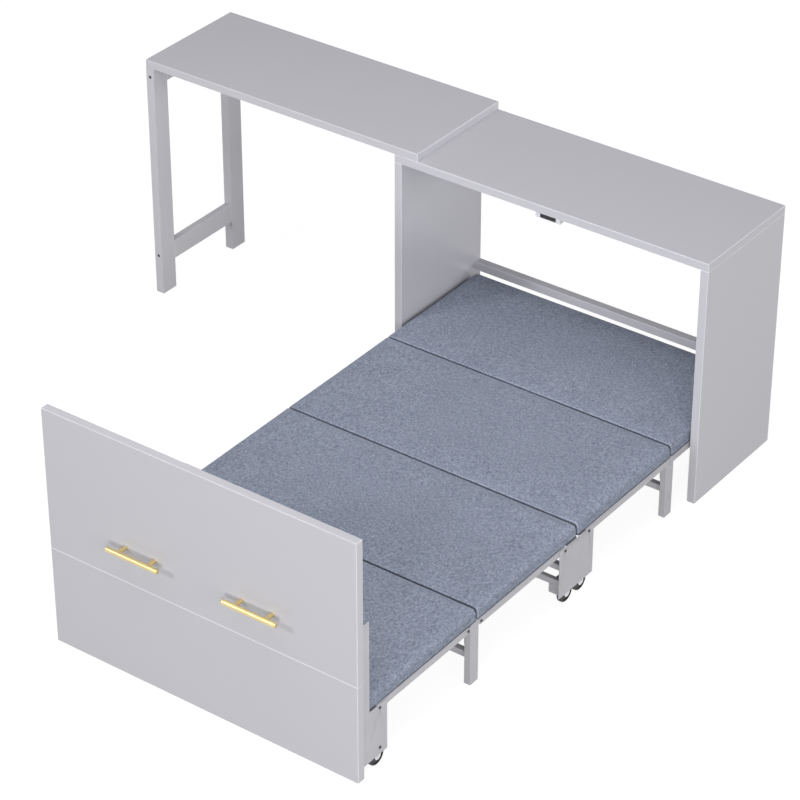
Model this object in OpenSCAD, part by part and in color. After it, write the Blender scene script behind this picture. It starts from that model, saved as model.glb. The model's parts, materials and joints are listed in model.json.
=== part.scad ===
// Desk bed: an open cabinet with a sliding desk leaf and a bed that folds into the cabinet.
// The bed is four padded sections in a row. Two leg frames hang at the peaks of the fold,
// a caster carriage runs at the valley between them, and a foot box carries the front panel.
// Millimetres, +Z up. The origin is on the floor, under the middle of the whole object.

/* [Cabinet] */
// Overall width of the cabinet
cabinet_w = 1040; // [960:5:1200]
// Depth of the cabinet, front to back
cabinet_d = 400; // [390:1:430]
// Height of the cabinet's top surface
cabinet_h = 775; // [740:1:820]
// Thickness of the cabinet's boards
board_t = 25; // [18:1:30]
// Thickness of the rear crossbar, front to back
crossbar_t = 27; // [20:1:30]
// Height of the rear crossbar's section
crossbar_h = 27; // [20:1:45]
// Height of the rear crossbar's underside above the floor
crossbar_z = 230; // [226:1:300]
// Height of the rail under the top at the back
back_rail_h = 60; // [40:1:90]
// Width of the magnetic catch under the top
catch_w = 82; // [50:1:110]
// Depth of the magnetic catch, front to back
catch_d = 17; // [12:1:30]
// How far the magnetic catch hangs below the top
catch_h = 33; // [24:1:40]
// Width of the magnet in the catch
magnet_w = 52; // [20:1:70]
// Sideways offset of the catch from the middle
catch_x = -14; // [-60:1:60]

/* [Desk leaf] */
// Length of the sliding desk leaf
leaf_len = 998; // [900:1:1100]
// Thickness of the sliding desk leaf
leaf_t = 25; // [20:1:35]
// Length of leaf that stays on the cabinet when it is drawn out
leaf_overlap = 80; // [70:1:200]
// Thickness of the leaf's two posts, along the leaf
post_t = 28.5; // [20:0.5:40]
// Width of the leaf's two posts, front to back
post_w = 60; // [40:1:80]
// Height of the rail between the posts, under the leaf
leaf_rail_h = 60; // [30:1:100]
// Height of the stretcher between the posts
stretcher_h = 62; // [40:1:120]
// Height of the stretcher's underside above the floor
stretcher_z = 100; // [60:1:300]
// Thickness of the stretcher and the rail between the posts
stretcher_t = 24; // [16:1:28]
// Width of the routed guide grooves under the leaf
groove_w = 11; // [8:0.5:16]
// Depth of the routed guide grooves
groove_d = 8; // [5:0.5:12]
// Length of each guide key that runs in a groove
key_len = 50; // [30:1:70]
// Distance from the leaf's inner end to the guide keys when it is drawn out
key_set = 15; // [12:1:40]

/* [Bed sections] */
// Length of a section between its two pivots
section_len = 381; // [360:1:400]
// Height of all the pivots above the floor
pivot_z = 182; // [170:1:210]
// Height of a side rail's section
rail_h = 20; // [16:1:24]
// Thickness of a side rail, across the bed
rail_t = 18; // [14:1:24]
// Gap between a side rail and the cabinet's side board
rail_side_gap = 7; // [6.8:0.1:12]
// Number of slats in a section
slat_count = 5; // [3:1:7]
// Width of a slat
slat_w = 36; // [20:1:44]
// Thickness of a slat
slat_t = 8; // [5:0.5:12]
// Thickness of a section's end cross tubes, along the bed
tube_w = 16; // [12:1:20]
// Clear distance from a pivot to the nearest cross tube
tube_setback = 30; // [24:1:40]

/* [Mattress pads] */
// Thickness of a pad at its sides
pad_t = 38; // [30:1:40]
// Extra thickness at the middle of a pad
pad_crown = 3; // [0:0.5:5]
// Gap between a pad's side and the outer face of the side rail
pad_side_gap = 1; // [0.5:0.5:8]
// Radius of a pad's top edges
pad_edge_r = 12; // [6:1:18]
// Radius of the pad edges that meet over the carriage
pad_valley_r = 30; // [24:1:34]
// How far a pad's sides draw in between its corners
pad_draw_in = 2; // [0:0.5:4]
// Length of pad behind the rear pivot
pad_rear_over = 49; // [30:1:50]
// Length of pad in front of the foot pivot
pad_foot_over = 41; // [25:1:45]
// Distance from the middle of the rear leg to the seam above it, toward the foot
rear_seam_offset = 4.5; // [0:0.5:6]
// Distance from the middle of the front leg to the seam above it, toward the rear
front_seam_offset = 10.5; // [0:0.5:14]

/* [Leg frames] */
// Width of a leg, along the bed
leg_w = 36; // [28:1:42]
// Height of a leg frame's crossbar
leg_bar_h = 19; // [14:1:30]
// Thickness of a leg frame's crossbar, along the bed
leg_bar_t = 18; // [12:1:24]
// Height of the crossbar's underside above the floor
leg_bar_z = 77; // [50:1:130]
// Thickness of a hinge plate
hinge_plate_t = 3.5; // [2.5:0.5:4]

/* [Carriage and foot box] */
// Length of the carriage's side plates, along the bed
carriage_len = 160; // [150:1:162]
// Thickness of the folded steel side plates
side_plate_t = 3; // [2:0.5:3]
// Height of the side plates' lower edges above the floor
skirt_z = 36; // [34:0.5:45]
// Thickness of the carriage's square upper bars
upper_bar_s = 18; // [12:1:18]
// Height of the upper bars' undersides above the floor
upper_bar_z = 117; // [110:1:117]
// Thickness of the flat lower bars
lower_bar_t = 14; // [10:1:18]
// Height of the flat lower bars' section
lower_bar_h = 19; // [14:1:40]
// Width of the steel housings that the casters stand in
housing_w = 40; // [36:1:60]
// Thickness of a caster housing's steel
housing_t = 2; // [1.5:0.5:3]
// Distance between the foot pivot and the face of the front panel
foot_reach = 92; // [88:1:100]
// Length of the foot box's side plates, along the bed
foot_plate_len = 98; // [92:1:99]
// Height of the side plates' upright arms above the floor
foot_arm_z = 470; // [400:1:560]
// Width of the side plates' upright arms, along the bed
foot_arm_w = 26; // [16:1:26]
// Width of the flange that holds a side plate to the front panel
flange_w = 26; // [18:1:36]

/* [Front panel] */
// Thickness of the front panel's boards
front_t = 25; // [18:1:28]
// Gap between the front panel and each side board of the cabinet
front_side_gap = 1; // [1:0.5:6]
// Height of the front panel's lower edge above the floor
front_z = 2; // [2:1:20]
// Height of the joint between the lower and the upper board
front_split_z = 300; // [250:1:360]
// Height of the front panel's upper edge
front_top_z = 728; // [700:1:735]
// Distance between the middles of the two handles
handle_pitch = 374; // [250:1:600]
// Height of the handles' bars above the floor
handle_z = 409; // [340:1:640]
// Length of a handle's bar
handle_len = 168; // [130:1:200]
// Distance between a handle's two posts
handle_post_pitch = 96; // [64:1:128]
// Diameter of a handle's bar
handle_bar_d = 14; // [12:0.5:16]
// Diameter of a handle's posts
handle_post_d = 12; // [8:0.5:12]
// Distance from the panel's face to the middle of a handle's bar
handle_reach = 32; // [26:1:45]
// Width of the steel plate behind the joint of the front panel's boards
joining_plate_w = 120; // [60:5:300]
// Height of the steel plate behind the joint of the front panel's boards
joining_plate_h = 100; // [60:5:140]

/* [Casters] */
// Diameter of a wheel
wheel_d = 58; // [50:1:60]
// Width of a wheel
wheel_w = 14; // [10:1:16]
// Distance between the middles of a carriage side's two wheels
caster_pitch = 66; // [62:1:70]

/* [Pivot bolts] */
// Diameter of the pivot bolts
pivot_d = 6; // [5:1:7]
// Diameter of the pivot bolts' heads
bolt_head_d = 8; // [8:0.5:12]
// Height of the pivot bolts' heads
bolt_head_h = 2.2; // [1.5:0.1:2.2]

/* [Hidden] */
$fn = 48;

// Material left outside a rail's blind pivot hole
blind_t = 4;

// Fits and clearances
running = 0.05;
clearance = 0.5;
slide_gap = 0.5;
soft_gap = 0.3;
fold_gap = 2;

// Colours
painted = [0.72, 0.71, 0.74];
dark_metal = [0.25, 0.25, 0.27];
zinc = [0.75, 0.76, 0.78];
mattress = [0.50, 0.54, 0.62];
brass = [0.86, 0.72, 0.42];
slat_wood = [0.80, 0.70, 0.54];
nylon = [0.92, 0.92, 0.90];
tyre = [0.07, 0.07, 0.08];

// Across the cabinet
half_w = cabinet_w / 2;
inner_half = half_w - board_t;
rail_out = inner_half - rail_side_gap;
rail_in = rail_out - rail_t;
plate_in = rail_out + clearance;
plate_out = plate_in + side_plate_t;
top_under = cabinet_h - board_t;

// Along the bed, from the cabinet's front edge
pad_top = rail_h / 2 + soft_gap + pad_t + pad_crown;
leg_pitch = leg_w + rail_h + slide_gap;
crossbar_y = cabinet_d - crossbar_t - 1;
rear_pivot = crossbar_y - pad_top - fold_gap;
carriage_pitch = rear_pivot - foot_reach - 2 * leg_pitch;
rear_leg_back = rear_pivot - section_len;
rear_leg_front = rear_leg_back - leg_pitch;
carriage_back = rear_leg_front - section_len;
carriage_front = carriage_back - carriage_pitch;
front_leg_back = carriage_front - section_len;
front_leg_front = front_leg_back - leg_pitch;
foot_pivot = front_leg_front - section_len;
front_face = foot_pivot - foot_reach;
front_back = front_face + front_t;
rear_leg_mid = (rear_leg_back + rear_leg_front) / 2;
front_leg_mid = (front_leg_back + front_leg_front) / 2;
carriage_mid = (carriage_back + carriage_front) / 2;

// Heights
rail_top = pivot_z + rail_h / 2;
rail_bottom = pivot_z - rail_h / 2;
pad_z = rail_top + soft_gap;

// The desk leaf
leaf_right = leaf_overlap - half_w;
leaf_left = leaf_right - leaf_len;
post_in = leaf_left + post_t;
leaf_stop_gap = 3.5;
leaf_travel = leaf_len - leaf_overlap - post_t - leaf_stop_gap;
key_right = leaf_right - key_set;
key_y = [cabinet_d / 4, cabinet_d * 3 / 4];
key_play = 0.5;
key_pocket = 8;
leaf_bolt_r = 5;
leaf_bolt_h = 4;
leaf_bolt_x = post_in - post_t / 2;
leaf_bolt_z = [stretcher_z + stretcher_h / 2, cabinet_h - leaf_rail_h / 2];

// The origin, under the middle of the whole object
handle_front = front_face - handle_reach - handle_bar_d / 2;
mid_x = (leaf_left + half_w) / 2;
mid_y = (handle_front + cabinet_d) / 2;

// Each section's front and rear pivots, from the rear section to the foot section
section_front = [rear_leg_back, carriage_back, front_leg_back, foot_pivot];
section_rear = [rear_pivot, rear_leg_front, carriage_front, front_leg_front];
// Each pad's front and rear ends, and the edge radius at each
seam_gap = 3;
rear_seam = rear_leg_mid - rear_seam_offset;
front_seam = front_leg_mid + front_seam_offset;
pad_front = [rear_seam + seam_gap / 2, carriage_mid + pad_valley_gap(), front_seam + seam_gap / 2,
    foot_pivot - pad_foot_over];
pad_rear = [rear_pivot + pad_rear_over, rear_seam - seam_gap / 2, carriage_mid - pad_valley_gap(),
    front_seam - seam_gap / 2];
pad_front_r = [pad_edge_r, pad_valley_r, pad_edge_r, pad_edge_r];
pad_rear_r = [pad_edge_r, pad_edge_r, pad_valley_r, pad_edge_r];

// A pad's end over the carriage turns past the other pad's end as the bed folds up.
// Its farthest point from its pivot stays inside half the carriage's pitch.
function pad_valley_gap() =
    let (half = carriage_pitch / 2 - soft_gap,
        centre_z = pad_top - pad_valley_r,
        reach = sqrt(max(0, pow(half - pad_valley_r, 2) - pow(centre_z, 2))) + pad_valley_r)
    carriage_pitch / 2 - reach + soft_gap;

module stand() {
    translate([-mid_x, -mid_y, 0]) children();
}

// A box from its lowest to its highest corner
module block(low, high) {
    translate(low) cube(high - low);
}

// A rectangular steel tube along X, from -x to x
module tube_x(x, y0, y1, z0, z1) {
    wall = 1.5;
    difference() {
        block([-x, y0, z0], [x, y1, z1]);
        block([-x - 1, y0 + wall, z0 + wall], [x + 1, y1 - wall, z1 - wall]);
    }
}

// A round bar along X, from x0 to x1
module bar_x(x0, x1, y, z, r) {
    translate([x0, y, z]) rotate([0, 90, 0]) cylinder(h = x1 - x0, r = r);
}

// A round bar along Y, from y0 to y1
module bar_y(x, y0, y1, z, r) {
    translate([x, y0, z]) rotate([-90, 0, 0]) cylinder(h = y1 - y0, r = r);
}

// Cabinet

module cabinet_top() {
    color(painted) stand() difference() {
        block([-half_w, 0, top_under], [half_w, cabinet_d, cabinet_h]);
        for (y = key_y) guide_key(y, cabinet_h + 1);
    }
}

module side_board() {
    block([inner_half, 0, 0], [half_w, cabinet_d, top_under]);
}

module cabinet_side_left() {
    color(painted) stand() mirror([1, 0, 0]) side_board();
}

module cabinet_side_right() {
    color(painted) stand() side_board();
}

module rear_crossbar() {
    color(painted) stand() block([-inner_half, crossbar_y, crossbar_z],
        [inner_half, crossbar_y + crossbar_t, crossbar_z + crossbar_h]);
}

module back_top_rail() {
    color(painted) stand() block([-inner_half, cabinet_d - board_t - 1, top_under - back_rail_h],
        [inner_half, cabinet_d - 1, top_under]);
}

// A plate on the side board with a boss and the stud that a side rail turns on
module pivot_bracket() {
    plate_t = 3;
    plate_half = 26;
    boss_r = 9;
    plate_x = inner_half - plate_t;
    block([plate_x, rear_pivot - plate_half, pivot_z - plate_half],
        [inner_half, rear_pivot + plate_half, pivot_z + plate_half]);
    bar_x(rail_out + clearance, plate_x, rear_pivot, pivot_z, boss_r);
    bar_x(rail_in, plate_x, rear_pivot, pivot_z, pivot_d / 2);
}

module rear_pivot_brackets() {
    color(zinc) stand() {
        pivot_bracket();
        mirror([1, 0, 0]) pivot_bracket();
    }
}

catch_y = front_t + 2;
catch_wall = 5;

module catch_body() {
    color(nylon) stand() translate([catch_x, catch_y, top_under - catch_h]) difference() {
        block([-catch_w / 2, 0, 0], [catch_w / 2, catch_d, catch_h]);
        block([-magnet_w / 2, -1, catch_wall / 2], [magnet_w / 2, catch_d - catch_wall, catch_h / 2]);
    }
}

module catch_magnet() {
    color(dark_metal) stand() translate([catch_x, catch_y, top_under - catch_h])
        block([-magnet_w / 2, 0.5, catch_wall / 2], [magnet_w / 2, catch_d - catch_wall, catch_h / 2]);
}

// A key sits in a pocket in the cabinet's top and stands up into the leaf's groove
module guide_key(y, top) {
    key_half = groove_w / 2 - key_play;
    block([key_right - key_len, y - key_half, cabinet_h - key_pocket], [key_right, y + key_half, top]);
}

module guide_keys() {
    color(nylon) stand() for (y = key_y) guide_key(y, cabinet_h + groove_d - 1);
}

// Desk leaf

module leaf_top() {
    end_play = 2;
    color(painted) stand() difference() {
        block([leaf_left, 0, cabinet_h], [leaf_right, cabinet_d, cabinet_h + leaf_t]);
        for (y = key_y) block([key_right - key_len - leaf_travel - end_play, y - groove_w / 2, cabinet_h - 1],
            [key_right + end_play, y + groove_w / 2, cabinet_h + groove_d]);
    }
}

module leaf_posts() {
    color(painted) stand() difference() {
        for (y = [0, cabinet_d - post_w])
            block([leaf_left, y, 0], [post_in, y + post_w, cabinet_h]);
        leaf_bolt_heads();
    }
}

module leaf_crosspieces() {
    x = post_in - stretcher_t;
    color(painted) stand() {
        block([x, post_w, cabinet_h - leaf_rail_h], [post_in, cabinet_d - post_w, cabinet_h]);
        block([x, post_w, stretcher_z], [post_in, cabinet_d - post_w, stretcher_z + stretcher_h]);
    }
}

// Cap heads let into the posts' outer faces, front and back
module leaf_bolt_heads() {
    for (z = leaf_bolt_z) {
        bar_y(leaf_bolt_x, 0, leaf_bolt_h, z, leaf_bolt_r);
        bar_y(leaf_bolt_x, cabinet_d - leaf_bolt_h, cabinet_d, z, leaf_bolt_r);
    }
}

module leaf_bolts() {
    color(dark_metal) stand() leaf_bolt_heads();
}

// Bed sections, counted from the rear

// A rail's end is round about its pivot, except over the rear leg, where it runs on to the seam
module side_rail(i) {
    ledge_w = 10;
    ledge_t = 3;
    ledge_y0 = section_front[i] + tube_setback + tube_w;
    ledge_y1 = section_rear[i] - tube_setback - tube_w;
    ledge_z = rail_top - slat_t - ledge_t;
    front_end = (i == 0) ? pad_front[0] : section_front[i];
    bore_front = (i == 0) ? rail_out - blind_t : rail_out + 1;
    bore_rear = (i == 1) ? rail_out - blind_t : rail_out + 1;
    difference() {
        union() {
            block([rail_in, front_end, rail_bottom], [rail_out, section_rear[i], rail_top]);
            if (i > 0) bar_x(rail_in, rail_out, section_front[i], pivot_z, rail_h / 2);
            bar_x(rail_in, rail_out, section_rear[i], pivot_z, rail_h / 2);
            block([rail_in - ledge_w, ledge_y0, ledge_z], [rail_in, ledge_y1, ledge_z + ledge_t]);
        }
        bar_x(rail_in - 1, bore_front, section_front[i], pivot_z, pivot_d / 2 + running);
        bar_x(rail_in - 1, bore_rear, section_rear[i], pivot_z, pivot_d / 2 + running);
    }
}

module side_rails(i) {
    color(painted) stand() {
        side_rail(i);
        mirror([1, 0, 0]) side_rail(i);
    }
}

module cross_tubes(i) {
    color(painted) stand() for (y = [section_front[i] + tube_setback, section_rear[i] - tube_setback - tube_w])
        tube_x(rail_in, y, y + tube_w, rail_bottom + 2, rail_top);
}

module slats(i) {
    y0 = section_front[i] + tube_setback + tube_w;
    y1 = section_rear[i] - tube_setback - tube_w;
    gap = (y1 - y0 - slat_count * slat_w) / (slat_count + 1);
    color(slat_wood) stand() for (k = [0 : slat_count - 1])
        block([-rail_in, y0 + gap + k * (slat_w + gap), rail_top - slat_t],
            [rail_in, y0 + gap + k * (slat_w + gap) + slat_w, rail_top]);
}

// Height that an edge of radius r takes off a pad's top at a distance d from its side
function edge_drop(d, r) = d >= r ? 0 : r - sqrt(max(0, r * r - (r - d) * (r - d)));

// Steps across a pad: close together over the rounded edges, even in the middle
function edge_steps(r, n) = [for (k = [0 : n]) r * (1 - cos(90 * k / n))];

function pad_steps(length, r0, r1, edge_n, mid_n) = concat(
    edge_steps(r0, edge_n),
    [for (k = [1 : mid_n - 1]) r0 + (length - r0 - r1) * k / mid_n],
    [for (k = [edge_n : -1 : 0]) length - edge_steps(r1, edge_n)[k]]);

// A pad with a crowned top, rounded top edges and sides that draw in between its corners
module pad(i) {
    edge_n = 5;
    mid_n = 8;
    width = 2 * (rail_out - pad_side_gap);
    length = pad_rear[i] - pad_front[i];
    us = pad_steps(width, pad_edge_r, pad_edge_r, edge_n, mid_n);
    vs = pad_steps(length, pad_front_r[i], pad_rear_r[i], edge_n, mid_n);
    nu = len(us);
    nv = len(vs);
    function bow(t) = 1 - pow(2 * t - 1, 2);
    function px(u, v) = (u - width / 2) * (1 - 2 * pad_draw_in * bow(v / length) / width);
    function py(u, v) = v + pad_front[i];
    function crown(u, v) = pad_crown * bow(u / width) * bow(v / length);
    function drop(u, v) = min(pad_t - 2, norm([
        edge_drop(min(u, width - u), pad_edge_r),
        v < length / 2 ? edge_drop(v, pad_front_r[i]) : edge_drop(length - v, pad_rear_r[i])]));
    top = [for (v = vs) for (u = us) [px(u, v), py(u, v), pad_z + pad_t + crown(u, v) - drop(u, v)]];
    bottom = [for (v = vs) for (u = us) [px(u, v), py(u, v), pad_z]];
    n = nu * nv;
    function at(a, b) = a + b * nu;
    top_faces = [for (b = [0 : nv - 2]) for (a = [0 : nu - 2]) for (f = [
        [at(a, b), at(a + 1, b + 1), at(a + 1, b)], [at(a, b), at(a, b + 1), at(a + 1, b + 1)]]) f];
    bottom_faces = [for (f = top_faces) [f[0] + n, f[2] + n, f[1] + n]];
    side_faces = concat(
        [for (a = [0 : nu - 2]) for (f = [
            [at(a, 0), at(a + 1, 0), at(a + 1, 0) + n], [at(a, 0), at(a + 1, 0) + n, at(a, 0) + n]]) f],
        [for (a = [0 : nu - 2]) for (f = [
            [at(a + 1, nv - 1), at(a, nv - 1), at(a, nv - 1) + n],
            [at(a + 1, nv - 1), at(a, nv - 1) + n, at(a + 1, nv - 1) + n]]) f],
        [for (b = [0 : nv - 2]) for (f = [
            [at(0, b + 1), at(0, b), at(0, b) + n], [at(0, b + 1), at(0, b) + n, at(0, b + 1) + n]]) f],
        [for (b = [0 : nv - 2]) for (f = [
            [at(nu - 1, b), at(nu - 1, b + 1), at(nu - 1, b + 1) + n],
            [at(nu - 1, b), at(nu - 1, b + 1) + n, at(nu - 1, b) + n]]) f]);
    color(mattress) stand() polyhedron(concat(top, bottom), concat(top_faces, bottom_faces, side_faces));
}

module section_1_side_rails() {
    side_rails(0);
}

module section_1_cross_tubes() {
    cross_tubes(0);
}

module section_1_slats() {
    slats(0);
}

module section_1_pad() {
    pad(0);
}

module section_2_side_rails() {
    side_rails(1);
}

module section_2_cross_tubes() {
    cross_tubes(1);
}

module section_2_slats() {
    slats(1);
}

module section_2_pad() {
    pad(1);
}

module section_3_side_rails() {
    side_rails(2);
}

module section_3_cross_tubes() {
    cross_tubes(2);
}

module section_3_slats() {
    slats(2);
}

module section_3_pad() {
    pad(2);
}

module section_4_side_rails() {
    side_rails(3);
}

module section_4_cross_tubes() {
    cross_tubes(3);
}

module section_4_slats() {
    slats(3);
}

module section_4_pad() {
    pad(3);
}

// Leg frames: a leg hangs between two pivots on a hinge plate at each side

// Room for the first rail's end as it swings up off the rear leg
rail_swing_gap = 2.25;
hinge_x = rail_in - clearance - hinge_plate_t;
leg_in = rail_in - clearance;

// The plate spans both pivots and has a tab down the inside of the leg
module hinge_plate(mid) {
    eye_r = 9;
    tab_half = leg_w / 2 - 3;
    tab_h = 60;
    difference() {
        union() {
            for (s = [-1, 1]) bar_x(hinge_x, leg_in, mid + s * leg_pitch / 2, pivot_z, eye_r);
            block([hinge_x, mid - leg_pitch / 2, pivot_z - eye_r], [leg_in, mid + leg_pitch / 2, pivot_z + eye_r]);
            block([hinge_x, mid - tab_half, pivot_z - tab_h], [leg_in, mid + tab_half, pivot_z]);
        }
        for (s = [-1, 1]) bar_x(hinge_x - 1, leg_in + 1, mid + s * leg_pitch / 2, pivot_z, pivot_d / 2 + running);
    }
}

// The rear leg's top is notched under the end of the first section's rail
module leg(mid, notched) {
    chamfer = 3;
    shoulder = mid - pad_front[0] + rail_swing_gap;
    translate([leg_in, mid, 0]) difference() {
        block([0, -leg_w / 2, 0], [rail_out - leg_in, leg_w / 2, rail_top - clearance]);
        for (s = [-1, 1]) translate([0, s * leg_w / 2, 0]) rotate([45, 0, 0])
            cube([3 * rail_t, chamfer, chamfer], center = true);
        if (notched) block([-1, -shoulder, rail_bottom - clearance], [rail_t + 2, leg_w, rail_top + 1]);
    }
    hinge_plate(mid);
}

module legs(mid, notched) {
    color(painted) stand() {
        leg(mid, notched);
        mirror([1, 0, 0]) leg(mid, notched);
    }
}

module leg_crossbar(mid) {
    color(painted) stand()
        tube_x(leg_in, mid - leg_bar_t / 2, mid + leg_bar_t / 2, leg_bar_z, leg_bar_z + leg_bar_h);
}

// A pivot bolt along X with its nut inside and, where it passes right through, its head outside
module pivot_bolt(y, x0, x1, headed) {
    nut_h = 5;
    nut_r = 5.8;
    bar_x(x0, x1, y, pivot_z, pivot_d / 2);
    translate([x0 - nut_h, y, pivot_z]) rotate([0, 90, 0]) cylinder(h = nut_h, r = nut_r, $fn = 6);
    if (headed) bar_x(x1, x1 + bolt_head_h, y, pivot_z, bolt_head_d / 2);
}

module pivot_bolts(ys, x0, x1, headed) {
    color(dark_metal) stand() for (y = ys) {
        pivot_bolt(y, x0, x1, headed);
        mirror([1, 0, 0]) pivot_bolt(y, x0, x1, headed);
    }
}

module rear_legs() {
    legs(rear_leg_mid, true);
}

module rear_leg_crossbar() {
    leg_crossbar(rear_leg_mid);
}

module rear_leg_pivot_bolts() {
    pivot_bolts([rear_leg_back, rear_leg_front], hinge_x, rail_out - blind_t - clearance, false);
}

module front_legs() {
    legs(front_leg_mid, false);
}

module front_leg_crossbar() {
    leg_crossbar(front_leg_mid);
}

module front_leg_pivot_bolts() {
    pivot_bolts([front_leg_back, front_leg_front], hinge_x, rail_out + 0.3, true);
}

// Carriage

module carriage_side_plates() {
    y0 = carriage_mid - carriage_len / 2;
    y1 = carriage_mid + carriage_len / 2;
    color(painted) stand() for (m = [0, 1]) mirror([m, 0, 0]) difference() {
        block([plate_in, y0, skirt_z], [plate_out, y1, rail_top - 2]);
        for (y = [carriage_front, carriage_back])
            bar_x(plate_in - 1, plate_out + 1, y, pivot_z, pivot_d / 2 + running);
    }
}

wheel_r = wheel_d / 2;
wheel_gap = 1.5;
crown_t = 2.5;
housing_end_gap = 2;
housing_h = wheel_d + wheel_gap + crown_t + housing_t - skirt_z;
housing_top = skirt_z + housing_h;
carriage_housing_half = caster_pitch / 2 + wheel_r + housing_end_gap + housing_t;

module carriage_bars() {
    half = carriage_housing_half;
    color(painted) stand() for (s = [0, 1]) translate([0, carriage_mid, 0]) mirror([0, s, 0]) {
        tube_x(plate_in, -half, upper_bar_s - half, upper_bar_z, upper_bar_z + upper_bar_s);
        tube_x(plate_in, -half, lower_bar_t - half, housing_top, housing_top + lower_bar_h);
    }
}

// A steel housing over the wheels, open below and toward the side plate
module caster_housing(y0, y1) {
    difference() {
        block([plate_in - housing_w, y0, skirt_z], [plate_in, y1, housing_top]);
        block([plate_in - housing_w + housing_t, y0 + housing_t, skirt_z - 1],
            [plate_in + 1, y1 - housing_t, housing_top - housing_t]);
    }
}

module carriage_blocks() {
    color(painted) stand() for (m = [0, 1]) mirror([m, 0, 0])
        caster_housing(carriage_mid - carriage_housing_half, carriage_mid + carriage_housing_half);
}

module carriage_pivot_bolts() {
    pivot_bolts([carriage_front, carriage_back], rail_in - 0.3, plate_out, true);
}

// Foot box and front panel

foot_housing_rear = front_back + foot_plate_len - 1;
foot_wheel_y = foot_housing_rear - housing_t - housing_end_gap / 2 - wheel_r;
foot_housing_front = foot_wheel_y - wheel_r - housing_end_gap - housing_t;

module foot_side_plates() {
    color(painted) stand() for (m = [0, 1]) mirror([m, 0, 0]) difference() {
        union() {
            block([plate_in, front_back, skirt_z], [plate_out, front_back + foot_plate_len, rail_top - 2]);
            block([plate_in, front_back, skirt_z], [plate_out, front_back + foot_arm_w, foot_arm_z]);
            block([plate_out - flange_w, front_back, housing_top],
                [plate_out, front_back + side_plate_t, foot_arm_z]);
        }
        bar_x(plate_in - 1, plate_out + 1, foot_pivot, pivot_z, pivot_d / 2 + running);
    }
}

module foot_bars() {
    color(painted) stand() for (y = [foot_housing_front, foot_housing_rear - lower_bar_t])
        tube_x(plate_in, y, y + lower_bar_t, housing_top, housing_top + lower_bar_h);
}

module foot_blocks() {
    color(painted) stand() for (m = [0, 1]) mirror([m, 0, 0])
        caster_housing(foot_housing_front, foot_housing_rear);
}

module foot_pivot_bolts() {
    low_z = skirt_z + housing_h * 3 / 4;
    pivot_bolts([foot_pivot], rail_in - 0.3, plate_out, true);
    color(dark_metal) stand() for (m = [0, 1]) mirror([m, 0, 0])
        bar_x(plate_out, plate_out + bolt_head_h, foot_pivot, low_z, bolt_head_d / 2);
}

module front_board(z0, z1) {
    x = inner_half - front_side_gap;
    color(painted) stand() block([-x, front_face, z0], [x, front_back, z1]);
}

module front_board_lower() {
    front_board(front_z, front_split_z - 0.5);
}

module front_board_upper() {
    front_board(front_split_z + 0.5, front_top_z);
}

// A steel plate across the joint between the two boards, behind the panel
module front_joining_plate() {
    half_h = joining_plate_h / 2;
    color(painted) stand() block([-joining_plate_w / 2, front_back, front_split_z - half_h],
        [joining_plate_w / 2, front_back + side_plate_t, front_split_z + half_h]);
}

// The steel strip that the catch's magnet holds
module strike_plate() {
    strike_w = 60;
    strike_h = 14;
    strike_t = 1.5;
    color(zinc) stand() block([catch_x - strike_w / 2, front_back, front_top_z - 1 - strike_h],
        [catch_x + strike_w / 2, front_back + strike_t, front_top_z - 1]);
}

// A T-bar handle with chamfered ends on two posts
module handle() {
    chamfer = 1;
    end_x = handle_len / 2 - chamfer;
    bar_r = handle_bar_d / 2;
    bar_x(-end_x, end_x, front_face - handle_reach, handle_z, bar_r);
    for (s = [0, 1]) mirror([s, 0, 0]) translate([end_x, front_face - handle_reach, handle_z])
        rotate([0, 90, 0]) cylinder(h = chamfer, r1 = bar_r, r2 = bar_r - chamfer);
    for (s = [-1, 1]) bar_y(s * handle_post_pitch / 2, front_face - handle_reach, front_face,
        handle_z, handle_post_d / 2);
}

module handles() {
    color(brass) stand() for (s = [-1, 1]) translate([s * handle_pitch / 2, 0, 0]) handle();
}

// Casters that roll along the bed: 1 to 4 on the carriage, 5 and 6 on the foot box, odd ones on the right

fork_leg_t = 2;
fork_gap = 0.5;
axle_r = 3;
rivet_h = 1.2;
fork_half = wheel_w / 2 + fork_gap + fork_leg_t;
crown_half = 20;
crown_z = housing_top - housing_t - wheel_r;
caster_x = plate_in - fork_half - rivet_h - running - clearance / 2;
caster_ys = [carriage_mid - caster_pitch / 2, carriage_mid - caster_pitch / 2,
    carriage_mid + caster_pitch / 2, carriage_mid + caster_pitch / 2, foot_wheel_y, foot_wheel_y];

// Places a caster made about its wheel's axle
module caster_place(n) {
    stand() translate([(n % 2 == 1 ? 1 : -1) * caster_x, caster_ys[n - 1], wheel_r]) children();
}

// A fork leg's outline: straight sides that run from the crown onto the round about the axle
module fork_leg_outline() {
    eye_r = 12;
    touch = atan2(crown_z, crown_half) - acos(eye_r / norm([crown_half, crown_z]));
    circle(r = eye_r);
    polygon([[-crown_half, crown_z], [-eye_r * cos(touch), eye_r * sin(touch)],
        [eye_r * cos(touch), eye_r * sin(touch)], [crown_half, crown_z]]);
}

// A pressed steel fork, fixed under its housing, with a riveted axle
module fork(n) {
    rivet_r = 5;
    color(zinc) caster_place(n) {
        translate([-fork_half, -crown_half, crown_z - crown_t]) cube([2 * fork_half, 2 * crown_half, crown_t]);
        for (s = [0, 1]) mirror([s, 0, 0]) {
            translate([fork_half - fork_leg_t, 0, 0]) rotate([90, 0, 90])
                linear_extrude(fork_leg_t) fork_leg_outline();
            bar_x(fork_half, fork_half + rivet_h, 0, 0, rivet_r);
        }
        bar_x(-fork_half, fork_half, 0, 0, axle_r);
    }
}

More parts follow.
